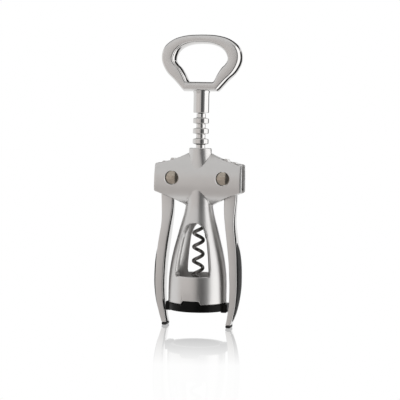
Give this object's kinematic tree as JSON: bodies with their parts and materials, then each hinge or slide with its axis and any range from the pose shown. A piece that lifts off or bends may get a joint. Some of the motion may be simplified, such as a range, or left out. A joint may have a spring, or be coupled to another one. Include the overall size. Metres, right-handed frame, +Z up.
{
  "type": "lever corkscrew",
  "caption": "Winged lever corkscrew: bell-shaped body with arched windows, ringed rack, right-handed worm, bottle-opener ring handle and curved levers with soft grips.",
  "frame": {"origin": "on the screw axis, level with the tips of the two levers, on which the corkscrew stands", "axes": "+Z up along the screw towards the handle ring, -Y towards the front window, +X to the right of the front"},
  "size_m": [0.057, 0.0378, 0.1885],
  "materials": {
    "satin_chrome": "satin chrome plating on a zinc casting, polished on the narrow sides",
    "black_plastic": "moulded black plastic with a soft shine",
    "black_rubber": "matte soft-touch rubber",
    "black_coating": "low-friction black coating on steel wire",
    "pin_steel": "turned steel rivet with a warm tint"
  },
  "bodies": {
    "housing": {"body_casting": "satin_chrome", "base_ring": "black_plastic", "left_pivot_pin": "pin_steel", "right_pivot_pin": "pin_steel"},
    "rack": {"rack_sleeve": "satin_chrome"},
    "screw": {"handle": "satin_chrome", "worm": "black_coating"},
    "left_wing": {"left_lever": "satin_chrome", "left_grip": "black_rubber", "left_foot": "black_rubber"},
    "right_wing": {"right_lever": "satin_chrome", "right_grip": "black_rubber", "right_foot": "black_rubber"}
  },
  "joints": [
    {"name": "rack_travel", "type": "slide", "parent": "housing", "child": "rack", "axis": [0, 0, -1], "range_m": [0, 0.028]},
    {"name": "screw_turn", "type": "hinge", "parent": "rack", "child": "screw", "pos_m": [0, 0, 0.145], "axis": [0, 0, 1], "continuous": true},
    {"name": "left_lever_swing", "type": "hinge", "parent": "housing", "child": "left_wing", "pos_m": [-0.0168, 0, 0.0963], "axis": [0, 1, 0], "range_deg": [0, 131]},
    {"name": "right_lever_swing", "type": "hinge", "parent": "housing", "child": "right_wing", "pos_m": [0.0168, 0, 0.0963], "axis": [0, -1, 0], "range_deg": [0, 131]}
  ],
  "couplings": [
    {"joint": "left_lever_swing", "follows": "rack_travel", "rad_per_m": 81.301},
    {"joint": "right_lever_swing", "follows": "rack_travel", "rad_per_m": 81.301}
  ]
}
